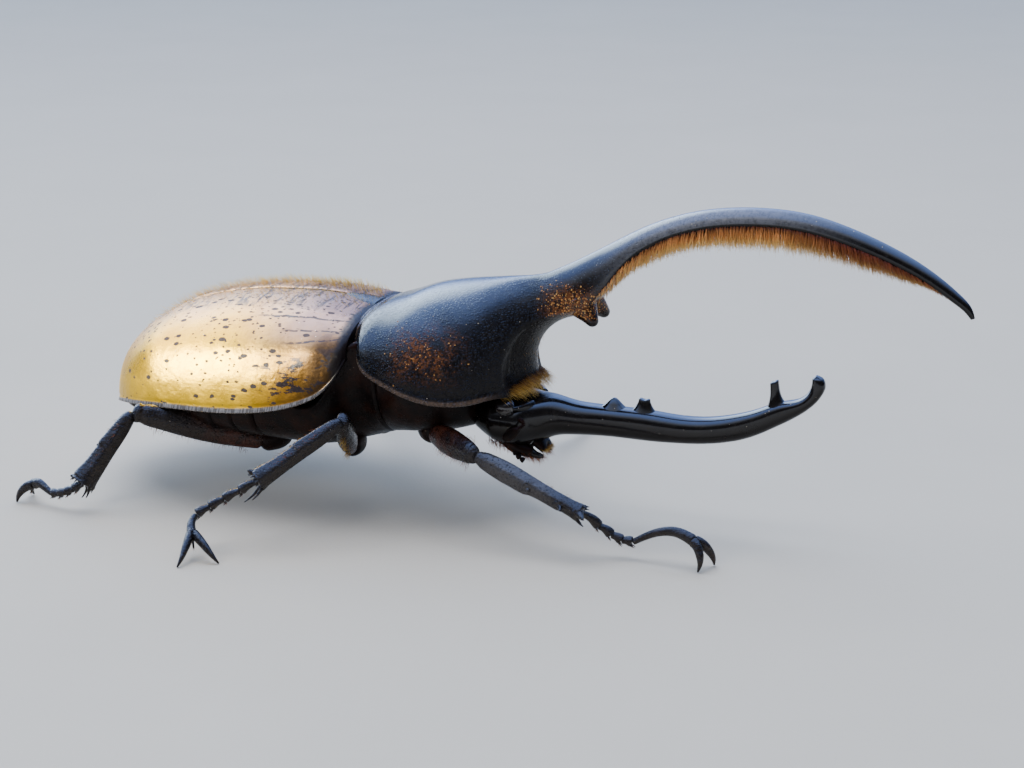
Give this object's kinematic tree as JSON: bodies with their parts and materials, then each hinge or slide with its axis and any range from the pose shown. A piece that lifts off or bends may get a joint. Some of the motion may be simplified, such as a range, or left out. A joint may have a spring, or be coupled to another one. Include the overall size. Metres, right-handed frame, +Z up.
{
  "type": "rhinoceros beetle",
  "caption": "Still life-size male rhinoceros beetle of the Hercules kind, standing, with a long arched horn on its thorax over a toothed horn on its head.",
  "frame": {"origin": "middle of the bounding box in plan, at floor level", "axes": "+X forward along the body towards the horns' tips, +Y to the animal's left, +Z up"},
  "size_m": [0.159, 0.0962, 0.0559],
  "materials": {
    "wing_case": "glossy horny shell, yellow ochre with small black spots",
    "black_shell": "glossy black horny shell",
    "brown_shell": "satin brown-black horny shell",
    "leg_shell": "satin black horny shell with a bluish sheen",
    "eye_shell": "very glossy dark compound eye"
  },
  "bodies": {
    "root": {"pronotum": "black_shell", "thorax_horn_base": "black_shell", "thorax_horn_middle": "black_shell", "thorax_horn_tip": "black_shell", "scutellum": "black_shell", "elytron_right": "wing_case", "elytron_left": "wing_case", "head": "black_shell", "head_horn_base": "black_shell", "head_horn_tip": "black_shell", "clypeus": "brown_shell", "eye_right": "eye_shell", "antenna_right": "brown_shell", "mandible_right": "black_shell", "palp_right": "brown_shell", "eye_left": "eye_shell", "antenna_left": "brown_shell", "mandible_left": "black_shell", "palp_left": "brown_shell", "prosternum": "brown_shell", "metasternum": "brown_shell", "abdomen": "brown_shell", "pygidium": "brown_shell", "coxa_fore_right": "brown_shell", "femur_fore_right": "leg_shell", "tibia_fore_right": "leg_shell", "tarsus_fore_right": "leg_shell", "coxa_fore_left": "brown_shell", "femur_fore_left": "leg_shell", "tibia_fore_left": "leg_shell", "tarsus_fore_left": "leg_shell", "coxa_mid_right": "brown_shell", "femur_mid_right": "leg_shell", "tibia_mid_right": "leg_shell", "tarsus_mid_right": "leg_shell", "coxa_mid_left": "brown_shell", "femur_mid_left": "leg_shell", "tibia_mid_left": "leg_shell", "tarsus_mid_left": "leg_shell", "coxa_hind_right": "brown_shell", "femur_hind_right": "leg_shell", "tibia_hind_right": "leg_shell", "tarsus_hind_right": "leg_shell", "coxa_hind_left": "brown_shell", "femur_hind_left": "leg_shell", "tibia_hind_left": "leg_shell", "tarsus_hind_left": "leg_shell"}
  },
  "joints": []
}
